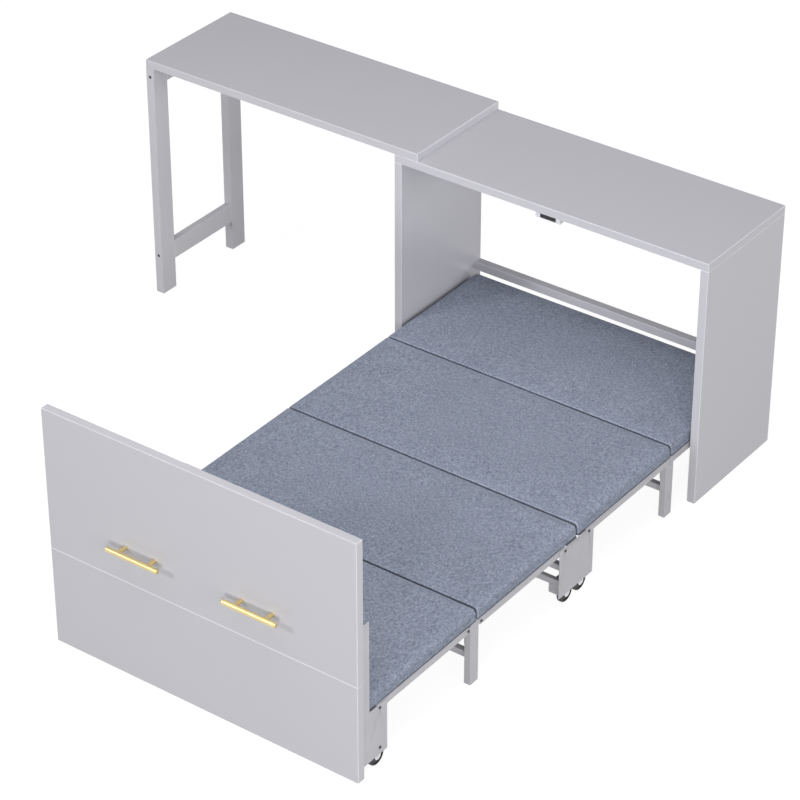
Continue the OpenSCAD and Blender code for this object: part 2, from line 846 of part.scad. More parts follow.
// A wheel with a rounded tread, a ring-shaped recess in each face and a hub
module wheel(n) {
    tread_r = 3.5;
    rim_t = 5;
    hub_wall = 5;
    recess = 2.5;
    half_wheel = wheel_w / 2;
    flat_r = wheel_r - tread_r;
    flat_half = half_wheel - tread_r;
    color(tyre) caster_place(n) rotate([0, 90, 0]) difference() {
        rotate_extrude() polygon(concat(
            [[axle_r + running, -half_wheel], [flat_r, -half_wheel]],
            [for (a = [-75 : 15 : 0]) [flat_r + tread_r * cos(a), tread_r * sin(a) - flat_half]],
            [for (a = [0 : 15 : 75]) [flat_r + tread_r * cos(a), tread_r * sin(a) + flat_half]],
            [[flat_r, half_wheel], [axle_r + running, half_wheel]]));
        for (s = [-1, 1]) translate([0, 0, s * half_wheel]) difference() {
            cylinder(h = 2 * recess, r = wheel_r - rim_t, center = true);
            cylinder(h = 3 * recess, r = axle_r + hub_wall, center = true);
        }
    }
}

module caster_fork_1() {
    fork(1);
}

module caster_wheel_1() {
    wheel(1);
}

module caster_fork_2() {
    fork(2);
}

module caster_wheel_2() {
    wheel(2);
}

module caster_fork_3() {
    fork(3);
}

module caster_wheel_3() {
    wheel(3);
}

module caster_fork_4() {
    fork(4);
}

module caster_wheel_4() {
    wheel(4);
}

module caster_fork_5() {
    fork(5);
}

module caster_wheel_5() {
    wheel(5);
}

module caster_fork_6() {
    fork(6);
}

module caster_wheel_6() {
    wheel(6);
}

cabinet_top();
cabinet_side_left();
cabinet_side_right();
rear_crossbar();
back_top_rail();
rear_pivot_brackets();
catch_body();
catch_magnet();
guide_keys();
leaf_top();
leaf_posts();
leaf_crosspieces();
leaf_bolts();
section_1_side_rails();
section_1_cross_tubes();
section_1_slats();
section_1_pad();
section_2_side_rails();
section_2_cross_tubes();
section_2_slats();
section_2_pad();
section_3_side_rails();
section_3_cross_tubes();
section_3_slats();
section_3_pad();
section_4_side_rails();
section_4_cross_tubes();
section_4_slats();
section_4_pad();
rear_legs();
rear_leg_crossbar();
rear_leg_pivot_bolts();
front_legs();
front_leg_crossbar();
front_leg_pivot_bolts();
carriage_side_plates();
carriage_bars();
carriage_blocks();
carriage_pivot_bolts();
foot_side_plates();
foot_bars();
foot_blocks();
foot_pivot_bolts();
front_board_lower();
front_board_upper();
front_joining_plate();
strike_plate();
handles();
caster_fork_1();
caster_wheel_1();
caster_fork_2();
caster_wheel_2();
caster_fork_3();
caster_wheel_3();
caster_fork_4();
caster_wheel_4();
caster_fork_5();
caster_wheel_5();
caster_fork_6();
caster_wheel_6();
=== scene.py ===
# The desk bed's looks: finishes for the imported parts, simulated pads, trim, lights and camera.
import json
import math

import bpy
import numpy as np
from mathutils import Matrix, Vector, noise


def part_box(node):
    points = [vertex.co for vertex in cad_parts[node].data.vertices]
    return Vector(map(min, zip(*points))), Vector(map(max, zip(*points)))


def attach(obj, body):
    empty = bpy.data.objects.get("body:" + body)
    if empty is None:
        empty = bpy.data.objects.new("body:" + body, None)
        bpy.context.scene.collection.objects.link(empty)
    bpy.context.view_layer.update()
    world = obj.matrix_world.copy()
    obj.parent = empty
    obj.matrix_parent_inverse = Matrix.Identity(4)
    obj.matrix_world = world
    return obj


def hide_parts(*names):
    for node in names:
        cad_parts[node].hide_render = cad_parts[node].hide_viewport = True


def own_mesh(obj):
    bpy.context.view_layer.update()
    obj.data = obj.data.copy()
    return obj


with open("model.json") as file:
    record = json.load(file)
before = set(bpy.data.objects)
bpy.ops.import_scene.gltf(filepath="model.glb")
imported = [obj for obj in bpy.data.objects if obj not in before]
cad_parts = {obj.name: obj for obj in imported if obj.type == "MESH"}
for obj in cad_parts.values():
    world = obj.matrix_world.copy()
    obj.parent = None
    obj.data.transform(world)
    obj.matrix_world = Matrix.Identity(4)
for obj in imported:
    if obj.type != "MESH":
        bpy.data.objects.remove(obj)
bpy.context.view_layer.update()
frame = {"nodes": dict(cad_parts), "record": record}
MM = 0.001

# Finishes

PAINT = (0.525, 0.520, 0.555)
STEEL_PAINT = (0.500, 0.494, 0.525)
CLOTH_DARK = (0.118, 0.137, 0.184)
CLOTH_LIGHT = (0.352, 0.389, 0.483)
CLOTH_SHEEN = (0.75, 0.80, 0.92)
BRASS = (0.84, 0.67, 0.32)
ZINC = (0.66, 0.67, 0.70)
BLACK_OXIDE = (0.085, 0.085, 0.09)
WHITE_PLASTIC = (0.80, 0.81, 0.84)
BLACK_RUBBER = (0.022, 0.022, 0.025)
BEECH = (0.60, 0.42, 0.25)
BEECH_DARK = (0.45, 0.29, 0.16)
BEECH_LIGHT = (0.66, 0.48, 0.30)
BEECH_PORE = (0.33, 0.21, 0.12)
# Weight of the warp, the weft, the thicker yarns and the slow drift in the cloth's speckle
YARN, SLUB, DRIFT = 0.22, 0.52, 0.04
# Inputs and output of the Mix node when it mixes colours
MIX_FACTOR, MIX_FIRST, MIX_SECOND, MIX_RESULT = 0, 6, 7, 2


def new_material(name, color, roughness, metallic=0.0, specular=0.5):
    """A material with a principled shader, its node tree and that shader."""
    mat = bpy.data.materials.new(name)
    mat.use_nodes = True
    shader = mat.node_tree.nodes["Principled BSDF"]
    shader.inputs["Base Color"].default_value = (*color, 1)
    shader.inputs["Roughness"].default_value = roughness
    shader.inputs["Metallic"].default_value = metallic
    shader.inputs["Specular IOR Level"].default_value = specular
    return mat, mat.node_tree, shader


def plug(tree, socket, value):
    """Links a socket to another one, or sets it to a constant."""
    if isinstance(value, bpy.types.NodeSocket):
        tree.links.new(value, socket)
    else:
        socket.default_value = value


def node(tree, kind, **inputs):
    """A node of a kind, with its inputs set or linked by name."""
    made = tree.nodes.new(kind)
    for key, value in inputs.items():
        plug(tree, made.inputs[key.replace("_", " ")], value)
    return made


def coords(tree, stretch=(1, 1, 1), turn=0.0):
    """Object coordinates in metres, stretched, and turned about the upright axis."""
    place = node(tree, "ShaderNodeTexCoord").outputs["Object"]
    spin = (0, 0, turn)
    made = node(tree, "ShaderNodeMapping", Vector=place, Scale=stretch, Rotation=spin)
    return made.outputs["Vector"]


def noise_at(tree, where, scale, detail=2.0, roughness=0.5):
    """Noise from 0 to 1 at the given coordinates."""
    made = node(tree, "ShaderNodeTexNoise", Vector=where, Scale=scale, Detail=detail)
    made.inputs["Roughness"].default_value = roughness
    return made.outputs["Fac"]


def spread(tree, value, low, high, start=0.3, end=0.7):
    """Maps a value's start to end onto low to high."""
    limits = {"From_Min": start, "From_Max": end, "To_Min": low, "To_Max": high}
    return node(tree, "ShaderNodeMapRange", Value=value, **limits).outputs["Result"]


def mixed(tree, factor, first, second):
    """A colour between two colours or colour sockets."""
    made = tree.nodes.new("ShaderNodeMix")
    made.data_type = "RGBA"
    plug(tree, made.inputs[MIX_FACTOR], factor)
    for index, color in ((MIX_FIRST, first), (MIX_SECOND, second)):
        plug(tree, made.inputs[index], (*color, 1) if isinstance(color, tuple) else color)
    return made.outputs[MIX_RESULT]


def maths(tree, operation, first, second):
    """One step of arithmetic on values or sockets."""
    made = tree.nodes.new("ShaderNodeMath")
    made.operation = operation
    plug(tree, made.inputs[0], first)
    plug(tree, made.inputs[1], second)
    return made.outputs[0]


def shade(color, factor):
    """A colour made lighter or darker."""
    return tuple(min(1.0, c * factor) for c in color)


def add_bump(tree, shader, height, strength, distance):
    """Relief on a shader from a height."""
    bump = node(tree, "ShaderNodeBump", Height=height, Strength=strength, Distance=distance)
    tree.links.new(bump.outputs["Normal"], shader.inputs["Normal"])


def add_tone(tree, shader, factor, first, second):
    """Colours a shader between two colours."""
    tree.links.new(mixed(tree, factor, first, second), shader.inputs["Base Color"])


def add_roughness(tree, shader, grain, low, high):
    """Varies a shader's roughness from low to high with a grain."""
    tree.links.new(spread(tree, grain, low, high), shader.inputs["Roughness"])


def board_paint(name, color):
    """Satin paint on board: an even grey with a fine rolled stipple."""
    mat, tree, shader = new_material(name, color, roughness=0.31)
    where = coords(tree)
    speck = spread(tree, noise_at(tree, where, scale=420.0, detail=1.0), low=0.0, high=0.25)
    add_tone(tree, shader, speck, color, shade(color, 1.03))
    add_roughness(tree, shader, noise_at(tree, where, scale=90.0), low=0.305, high=0.315)
    stipple = noise_at(tree, where, scale=650.0)
    add_bump(tree, shader, stipple, strength=0.03, distance=0.4 * MM)
    return mat


def steel_paint():
    """Powder coat on steel: an even grey with an orange-peel surface."""
    mat, tree, shader = new_material("steel_paint", STEEL_PAINT, roughness=0.46, specular=0.4)
    where = coords(tree)
    cloud = spread(tree, noise_at(tree, where, scale=14.0, detail=3.0), low=0.0, high=1.0)
    add_tone(tree, shader, cloud, shade(STEEL_PAINT, 0.97), shade(STEEL_PAINT, 1.03))
    add_roughness(tree, shader, noise_at(tree, where, scale=40.0), low=0.42, high=0.52)
    peel = noise_at(tree, where, scale=900.0, detail=1.0)
    add_bump(tree, shader, peel, strength=0.12, distance=0.4 * MM)
    return mat


def weave_ribs(tree, turn):
    """Fine ribs across the cloth, or along it when turned."""
    where = coords(tree, turn=turn)
    ribs = node(tree, "ShaderNodeTexWave", Vector=where, Scale=260.0, Distortion=0.6)
    return ribs.outputs["Fac"]


def woven_cloth(name, dark, light):
    """Heathered cloth: slubbed yarns in two directions, light and dark, in a plain weave."""
    mat, tree, shader = new_material(name, light, roughness=0.92, specular=0.25)
    shader.inputs["Sheen Weight"].default_value = 0.25
    shader.inputs["Sheen Roughness"].default_value = 0.5
    shader.inputs["Sheen Tint"].default_value = (*CLOTH_SHEEN, 1)
    warp = noise_at(tree, coords(tree, (1.0, 0.16, 1.0)), scale=520.0, roughness=0.6)
    weft = noise_at(tree, coords(tree, (0.16, 1.0, 1.0)), scale=520.0, roughness=0.6)
    slub = noise_at(tree, coords(tree, (1.0, 0.6, 1.0)), scale=210.0, detail=3.0, roughness=0.65)
    drift = noise_at(tree, coords(tree), scale=9.0)
    heather = maths(tree, "MULTIPLY", warp, YARN)
    for strand, weight in ((weft, YARN), (slub, SLUB), (drift, DRIFT)):
        heather = maths(tree, "ADD", heather, maths(tree, "MULTIPLY", strand, weight))
    speckle = spread(tree, heather, low=0.0, high=1.0, start=0.38, end=0.62)
    add_tone(tree, shader, speckle, dark, light)
    weave = maths(tree, "MAXIMUM", weave_ribs(tree, 0.0), weave_ribs(tree, math.pi / 2))
    height = maths(tree, "ADD", maths(tree, "MULTIPLY", weave, 0.5), heather)
    add_bump(tree, shader, height, strength=0.35, distance=1.2 * MM)
    return mat


def slat_timber():
    """Lacquered beech: long grain along the slat with fine pores."""
    mat, tree, shader = new_material("slat_timber", BEECH, roughness=0.45)
    along = coords(tree, (0.05, 1.0, 1.0))
    grain = noise_at(tree, along, scale=130.0, detail=5.0, roughness=0.6)
    pores = noise_at(tree, coords(tree, (0.04, 1.0, 1.0)), scale=900.0, detail=1.0)
    wood = mixed(tree, spread(tree, grain, low=0.0, high=1.0), BEECH_DARK, BEECH_LIGHT)
    pored = spread(tree, pores, low=0.0, high=0.5, start=0.5, end=0.8)
    add_tone(tree, shader, pored, wood, BEECH_PORE)
    add_bump(tree, shader, grain, strength=0.15, distance=0.6 * MM)
    return mat


def bare_metal(name, color, roughness, grain_scale=(1, 1, 1), relief=0.06):
    """Metal with a fine brushed or cast grain."""
    mat, tree, shader = new_material(name, color, roughness, metallic=1.0)
    grain = noise_at(tree, coords(tree, grain_scale), scale=700.0)
    tone = spread(tree, grain, low=0.0, high=1.0)
    add_tone(tree, shader, tone, shade(color, 0.92), shade(color, 1.06))
    add_roughness(tree, shader, grain, low=roughness - 0.05, high=roughness + 0.07)
    add_bump(tree, shader, grain, strength=relief, distance=0.3 * MM)
    return mat


def moulded(name, color, roughness):
    """Moulded plastic or rubber with a fine texture."""
    mat, tree, shader = new_material(name, color, roughness)
    grain = noise_at(tree, coords(tree), scale=800.0)
    tone = spread(tree, grain, low=0.0, high=1.0)
    add_tone(tree, shader, tone, shade(color, 0.94), shade(color, 1.05))
    add_bump(tree, shader, grain, strength=0.15, distance=0.3 * MM)
    return mat


FINISH = {
    "painted_board": board_paint("board_paint", PAINT),
    "painted_steel": steel_paint(),
    "mattress_fabric": woven_cloth("mattress_cloth", CLOTH_DARK, CLOTH_LIGHT),
    "slat_wood": slat_timber(),
    "zinc_steel": bare_metal("zinc_plate", ZINC, roughness=0.34),
    "dark_steel": bare_metal("black_oxide", BLACK_OXIDE, roughness=0.42),
    "white_nylon": moulded("white_plastic", WHITE_PLASTIC, roughness=0.40),
    "brushed_brass": bare_metal("satin_brass", BRASS, 0.37, grain_scale=(0.06, 1, 1), relief=0.01),
    "caster_tyre": moulded("black_tyre", BLACK_RUBBER, roughness=0.50),
}
# Painted highlight: a lighter cloth for the welts, so that the pads' seam edges show a light rim
WELT_HIGHLIGHT_CLOTH = woven_cloth("welt_painted_highlight", shade(CLOTH_DARK, 1.6), shade(CLOTH_LIGHT, 1.5))
# Painted shade: near-black cloth on the pads' hems, on their ends inside the seams and on the
# boards under their ends
SHADE_CLOTH = woven_cloth("painted_shade_cloth", shade(CLOTH_DARK, 0.3), shade(CLOTH_LIGHT, 0.3))
# Painted highlight: lighter paint on the bevelled edges of the boards
EDGE_HIGHLIGHT_PAINT = board_paint("board_edge_highlight", shade(PAINT, 1.3))
# Painted highlight: a still lighter paint for the strip in the front panel's joint
JOINT_HIGHLIGHT_PAINT = board_paint("joint_highlight", shade(PAINT, 1.45))
SLOT_OF = {part["node"]: part["material_slot"] for part in frame["record"]["subparts"]}

# Edge rounding of the flat-sided parts in millimetres, with the starts of their names
BEVELS = {
    1.3: ("cabinet", "leaf", "front_board", "rear_crossbar", "back_top"),
    0.9: (
        "rear_leg_crossbar", "front_leg_crossbar", "rear_legs", "front_legs", "carriage_bars",
        "foot_bars",
    ),
    0.8: ("catch_body",),
    0.6: ("carriage_blocks", "foot_blocks", "guide"),
    0.5: ("carriage_side", "foot_side", "front_joining"),
    0.3: ("strike",),
}
WELD_REACH = 0.01 * MM
SHARP = math.radians(50)


def add_bevel(piece, width, segments):
    """Rounds the edges of a piece."""
    bevel = piece.modifiers.new("edges", "BEVEL")
    bevel.width = width
    bevel.segments = segments
    return bevel


def finish_part(name, part):
    """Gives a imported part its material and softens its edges."""
    slot = SLOT_OF[name]
    part.data.materials.clear()
    part.data.materials.append(FINISH[slot])
    width = next((size for size, starts in BEVELS.items() if name.startswith(starts)), None)
    if width is None:
        return
    weld = part.modifiers.new("weld", "WELD")
    weld.merge_threshold = WELD_REACH
    bevel = add_bevel(part, width * MM, segments=3)
    bevel.limit_method = "ANGLE"
    bevel.angle_limit = SHARP
    # Painted highlight: the bevels of painted boards take a lighter paint, so that their edges
    # show light lines
    if slot == "painted_board":
        part.data.materials.append(EDGE_HIGHLIGHT_PAINT)
        bevel.material = 1


for node_name, packed in frame["nodes"].items():
    finish_part(node_name, packed)


def new_piece(name, verts, faces, slot, body, look=None, smooth=True):
    """A mesh piece in its slot's finish, or in a look of its own, riding on a body."""
    mesh = bpy.data.meshes.new(name)
    mesh.from_pydata([tuple(v) for v in verts], [], faces)
    mesh.validate()
    if smooth:
        mesh.shade_smooth()
    piece = bpy.data.objects.new(name, mesh)
    bpy.context.scene.collection.objects.link(piece)
    mesh.materials.append(look or FINISH[slot])
    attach(piece, body)
    return piece


# Pads, numbered from the head of the bed to its foot

FIRST_PAD, LAST_PAD = 1, 4
# Where the pads meet, and the outer ends of the first and the last pad, along the bed
SEAMS = (0.4970, 0.0319, -0.4278)
SEAM_GAP = 3 * MM
PAD_ENDS = (0.9517, -0.8915)
PAD_HALF_W = 488.2 * MM
PAD_MID_X = 0.459
# Rounding of the sides and outer ends, of the ends at a seam, and of the foot
SIDE_R = 14 * MM
SEAM_R = 5 * MM
FOOT_R = 2 * MM
# Grid lines within a rounded edge, as shares of it, and the size of the grid elsewhere
EDGE_STEPS = (0.0, 0.3, 0.62, 1.0)
GRID = 12 * MM
# Heights of the lowest grid levels: the hem, in near-black cloth that paints the shade under the
# pad's foot, reaches up to the level HEM_LEVEL
FOOT_LEVELS = (0.0, 1 * MM, 3.5 * MM, 8 * MM, 16 * MM)
HEM_LEVEL = 2
# How far a pad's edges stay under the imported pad: its middle rises by half of that
CROWN = 3 * MM
# Room that the cover has before the simulation, the shares of the simulated move that are kept
# along X, Y and Z, the most that any point moves, and the simulation's length in frames
SLACK = 0.9 * MM
SIM_SHARE = (0.3, 0.3, 1.0)
SIM_CAP = 2 * MM
SIM_FRAMES = 20
# Height in millimetres and fineness of the top's soft waves and of the puckers along its rim,
# with the shift of their noise from pad to pad, and how narrow the rim is
WAVE, WAVE_X, WAVE_Y, WAVE_SHIFT = 0.8, 4, 6, 3.7
PUCKER, PUCKER_XY, PUCKER_SHIFT = 0.5, 32, 5.1
RIM_X, RIM_Y = 12, 7
# How far the hem's seam draws the cover in, and the share of the half size where it does so
NIP = 0.7 * MM
NIP_FROM = 0.99
WELT_R = 1.1 * MM
WELT_SIDES = 8
TINY = 1e-9
# The pads over the carriage, whose cover and welt get meshes of their own
CARRIAGE_PADS = (2, 3)


def pad_box(number):
    """The lowest and the highest corner of a pad, without its crown."""
    low, high = (corner.copy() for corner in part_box(f"section_{number}_pad"))
    low.x, high.x = PAD_MID_X - PAD_HALF_W, PAD_MID_X + PAD_HALF_W
    high.y = PAD_ENDS[0] if number == FIRST_PAD else SEAMS[number - 2] - SEAM_GAP / 2
    low.y = PAD_ENDS[1] if number == LAST_PAD else SEAMS[number - 1] + SEAM_GAP / 2
    high.z -= CROWN
    return low, high


def steps(low, high, first, last):
    """Grid lines from low to high, close together within the first and the last rounded edge."""
    flat = high - low - first - last
    count = max(2, round(flat / GRID))
    middle = [low + first + flat * k / count for k in range(1, count)]
    start = [low + first * f for f in EDGE_STEPS]
    return start + middle + [high - last * f for f in reversed(EDGE_STEPS)]


def in_section(x, z, low, high):
    """Moves a point of a pad's oblong cross-section into the same section with round corners."""
    radius = SIDE_R if z > (low.z + high.z) / 2 else FOOT_R
    near_x = min(max(x, low.x + radius), high.x - radius)
    near_z = min(max(z, low.z + radius), high.z - radius)
    away = Vector((x - near_x, z - near_z))
    if away.length < TINY:
        return x, z
    away = away.normalized() * max(abs(away.x), abs(away.y))
    return near_x + away.x, near_z + away.y


def pad_point(x, y, z, low, high, ends):
    """Moves a point of a pad's box onto the same box with rounded edges."""
    flat_x, flat_z = in_section(x, z, low, high)
    radius = ends[0] if y - low.y < high.y - y else ends[1]
    reach = min(y - low.y, high.y - y, radius)
    inset = radius - math.sqrt(max(0.0, radius ** 2 - (radius - reach) ** 2))
    middle, half = (low.x + high.x) / 2, (high.x - low.x) / 2
    flat_x = middle + (flat_x - middle) * (1 - inset / half)
    return Vector((flat_x, y, low.z + (flat_z - low.z) * (1 - inset / (high.z - low.z))))


def slack_point(full, low, high):
    """Draws a point of a pad in by the room that the cover blows up into."""
    in_low = low + Vector((SLACK, SLACK, 0))
    in_high = high - Vector((SLACK, SLACK, SLACK))
    scale = [(in_high[k] - in_low[k]) / (high[k] - low[k]) for k in range(3)]
    return Vector([in_low[k] + (full[k] - low[k]) * scale[k] for k in range(3)])


def box_grid(xs, ys, zs):
    """The outer faces of a grid, with shared vertices, and each vertex's place in the grid."""
    lasts = (len(xs) - 1, len(ys) - 1, len(zs) - 1)
    index, places, faces = {}, [], []

    def add_face(ring, forward):
        corners = []
        for place in ring if forward else reversed(ring):
            if place not in index:
                index[place] = len(places)
                places.append(place)
            corners.append(index[place])
        faces.append(corners)

    for i in range(lasts[0]):
        for j in range(lasts[1]):
            for k in (0, lasts[2]):
                ring = [(i, j, k), (i + 1, j, k), (i + 1, j + 1, k), (i, j + 1, k)]
                add_face(ring, forward=k > 0)
    for i in range(lasts[0]):
        for k in range(lasts[2]):
            for j in (0, lasts[1]):
                ring = [(i, j, k), (i + 1, j, k), (i + 1, j, k + 1), (i, j, k + 1)]
                add_face(ring, forward=j == 0)
    for j in range(lasts[1]):
        for k in range(lasts[2]):
            for i in (0, lasts[0]):
                ring = [(i, j, k), (i, j + 1, k), (i, j + 1, k + 1), (i, j, k + 1)]
                add_face(ring, forward=i > 0)
    return places, faces


def inflate(piece, pinned):
    """Blows a closed cover up with the Cloth simulation, and gives its vertices' new places."""
    group = piece.vertex_groups.new(name="held")
    group.add(pinned, 1.0, "REPLACE")
    cloth = piece.modifiers.new("cloth", "CLOTH")
    cloth.settings.quality = 5
    cloth.settings.mass = 0.3
    cloth.settings.tension_stiffness = 25
    cloth.settings.compression_stiffness = 25
    cloth.settings.bending_stiffness = 1.5
    cloth.settings.use_pressure = True
    cloth.settings.uniform_pressure_force = 4
    cloth.settings.vertex_group_mass = "held"
    cloth.settings.effector_weights.gravity = 0
    cloth.point_cache.frame_start = 1
    cloth.point_cache.frame_end = SIM_FRAMES
    for step in range(1, SIM_FRAMES + 1):
        bpy.context.scene.frame_set(step)
    blown = piece.evaluated_get(bpy.context.evaluated_depsgraph_get())
    after = np.array([v.co for v in blown.data.vertices])
    piece.modifiers.remove(cloth)
    piece.vertex_groups.remove(group)
    bpy.context.scene.frame_set(1)
    return after


def blown_up(cover, start, places):
    """A cover's points after the simulation, with each move scaled along each axis and capped."""
    before = np.array([tuple(v) for v in start])
    pinned = [n for n, (i, j, k) in enumerate(places) if k == 0]
    move = (inflate(cover, pinned) - before) * np.array(SIM_SHARE)
    length = np.linalg.norm(move, axis=1, keepdims=True)
    return before + move * np.minimum(1.0, SIM_CAP / np.maximum(length, TINY))


def worn(point, at_hem_seam, number, low, high):
    """Crowns the pad at a point, with waves and puckers, and draws it in at the hem's seam."""
    centre, half = (low + high) / 2, (high - low) / 2
    u = (point.x - centre.x) / half.x
    v = (point.y - centre.y) / half.y
    top = min(1.0, max(0.0, (point.z - low.z) / (high.z - low.z)))
    rim = max(abs(u) ** RIM_X, abs(v) ** RIM_Y)
    swell = (1 - u * u) * (1 - v * v)
    point.z += top * CROWN / 2 * swell
    wave_at = Vector((point.x * WAVE_X, point.y * WAVE_Y, number * WAVE_SHIFT))
    pucker_at = Vector((point.x * PUCKER_XY, point.y * PUCKER_XY, number * PUCKER_SHIFT))
    wave, pucker = noise.noise(wave_at), noise.noise(pucker_at)
    point.z += top * (WAVE * wave + PUCKER * pucker * rim) * MM
    if at_hem_seam:
        point.x += math.copysign(NIP, -u) if abs(u) > NIP_FROM else 0.0
        point.y += math.copysign(NIP, -v) if abs(v) > NIP_FROM else 0.0
    point.x = min(max(point.x, low.x), high.x)
    point.y = min(max(point.y, low.y), high.y)
    point.z = max(point.z, low.z)
    return point


def darken(cover, places, last_row, number):
    """Painted shade: near-black cloth on the hem round the foot and on the ends inside the seams,
    where shade falls.
    """
    cover.data.materials.append(SHADE_CLOTH)
    for face in cover.data.polygons:
        rows = {places[v][1] for v in face.vertices}
        levels = {places[v][2] for v in face.vertices}
        in_near_seam = rows == {0} and number < LAST_PAD
        in_far_seam = rows == {last_row} and number > FIRST_PAD
        in_shaded_hem = len(levels) == 2 and max(levels) <= HEM_LEVEL
        if in_near_seam or in_far_seam or in_shaded_hem:
            face.material_index = 1
    cover.data.update()


def tube(path, radius):
    """A round cord along a path, as vertices and faces."""
    verts, faces = [], []
    for n, point in enumerate(path):
        ahead = (path[min(n + 1, len(path) - 1)] - path[max(n - 1, 0)]).normalized()
        side = ahead.cross(Vector((0, 1, 0))).normalized()
        up = side.cross(ahead)
        for a in range(WELT_SIDES):
            angle = 2 * math.pi * a / WELT_SIDES
            verts.append(point + radius * (math.cos(angle) * side + math.sin(angle) * up))
    for n in range(len(path) - 1):
        for a in range(WELT_SIDES):
            b = (a + 1) % WELT_SIDES
            base = n * WELT_SIDES
            faces.append((base + a, base + b, base + WELT_SIDES + b, base + WELT_SIDES + a))
    faces.append(tuple(range(WELT_SIDES)))
    faces.append(tuple(reversed(range((len(path) - 1) * WELT_SIDES, len(path) * WELT_SIDES))))
    return verts, faces


def make_welt(number, at, across, up):
    """The piped seam over a pad's near end, from hem to hem, along the cover's second row, in a
    lighter cloth that paints a highlight on its rim.
    """
    path = [at[(0, 1, k)] for k in range(HEM_LEVEL, up)]
    path += [at[(i, 1, up)] for i in range(across + 1)]
    path += [at[(across, 1, k)] for k in range(up - 1, HEM_LEVEL - 1, -1)]
    name, body = f"pad_{number}_welt", f"section_{number}"
    return new_piece(name, *tube(path, WELT_R), "mattress_fabric", body, look=WELT_HIGHLIGHT_CLOTH)


def make_pad(number):
    """One pad: a rounded cover blown up by simulation, with a hem of painted shade, puckers, waves
    and a welt of painted highlight.
    """
    node_name = f"section_{number}_pad"
    low, high = pad_box(number)
    ends = (SIDE_R if number == LAST_PAD else SEAM_R, SIDE_R if number == FIRST_PAD else SEAM_R)
    xs = steps(low.x, high.x, SIDE_R, SIDE_R)
    ys = steps(low.y, high.y, *ends)
    zs = [low.z + level for level in FOOT_LEVELS]
    zs += [high.z - SIDE_R * f for f in reversed(EDGE_STEPS)]
    places, faces = box_grid(xs, ys, zs)
    full = [pad_point(xs[i], ys[j], zs[k], low, high, ends) for i, j, k in places]
    start = [slack_point(point, low, high) for point in full]
    name, body = f"pad_{number}_cover", f"section_{number}"
    cover = new_piece(name, start, faces, "mattress_fabric", body)
    shape = blown_up(cover, start, places)
    for n, (i, j, k) in enumerate(places):
        shape[n] = worn(Vector(shape[n]), k == HEM_LEVEL, number, low, high)
    cover.data.vertices.foreach_set("co", shape.astype(np.float32).ravel())
    darken(cover, places, len(ys) - 1, number)
    smooth = cover.modifiers.new("smooth", "SUBSURF")
    smooth.levels = 1
    smooth.render_levels = 1
    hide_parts(node_name)
    at = {place: Vector(shape[n]) for n, place in enumerate(places)}
    welt = make_welt(number, at, len(xs) - 1, len(zs) - 1)
    if number in CARRIAGE_PADS:
        for piece in (cover, welt):
            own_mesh(piece)


for pad_number in range(FIRST_PAD, LAST_PAD + 1):
    make_pad(pad_number)

# Stiff boards under the pads' ends that stand out over the carriage, the foot box and the wall, in
# near-black cloth that paints the shade in the gaps under those ends

BOARD_HALF_W = 487.8 * MM
BOARD_LOW, TONGUE_LOW, BOARD_TOP = 0.1886, 0.19095, 0.1921
# Start and end of each pad's board along the bed, and the tip of its tongue if it has one
END_BOARDS = {
    1: (0.9107, 0.9480, None),
    2: (0.0705, 0.0410, 0.0345),
    3: (-0.0210, 0.0135, 0.0285),
    4: (-0.8615, -0.8885, None),
}


def drawn_across(name, body, slot, look, ends, profile):
    """A piece of one outline along the bed and upward, drawn across the bed from end to end."""
    verts = [(x, y, z) for x in ends for y, z in profile]
    count = len(profile)
    faces = [tuple(reversed(range(count))), tuple(range(count, 2 * count))]
    faces += [(n, (n + 1) % count, count + (n + 1) % count, count + n) for n in range(count)]
    return new_piece(name, verts, faces, slot, body, look, smooth=False)


def end_board(number, start, end, tip):
    """A thin board in near-black cloth as painted shade, with a thinner tongue where the
    carriage's bar passes.
    """
    outline = [(start, BOARD_TOP), (start, BOARD_LOW), (end, BOARD_LOW)]
    if tip is None:
        outline += [(end, BOARD_TOP)]
    else:
        outline += [(end, TONGUE_LOW), (tip, TONGUE_LOW), (tip, BOARD_TOP)]
    sides = (PAD_MID_X - BOARD_HALF_W, PAD_MID_X + BOARD_HALF_W)
    name, body = f"pad_{number}_end_board", f"section_{number}"
    board = drawn_across(name, body, "mattress_fabric", SHADE_CLOTH, sides, outline)
    add_bevel(board, 0.4 * MM, segments=2)


for pad_number, board_ends in END_BOARDS.items():
    end_board(pad_number, *board_ends)

# A painted highlight: a light strip in the joint between the front panel's two boards

HALF_JOINT = 0.5 * MM
# The strip's outline in millimetres, from the panel's face and from the middle of the joint
STRIP = [(1.0, -1.5), (-0.1, -1.4), (-0.3, -0.7), (-0.3, 0.7), (-0.1, 1.4), (1.0, 1.5)]
upper_low, upper_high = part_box("front_board_upper")
strip_y, strip_z = upper_low.y, upper_low.z - HALF_JOINT
drawn_across(
    "front_joint_highlight", "foot_box", "painted_board", JOINT_HIGHLIGHT_PAINT, (upper_low.x, upper_high.x),
    [(strip_y + y * MM, strip_z + z * MM) for y, z in STRIP],
)

# Lights, floor and camera

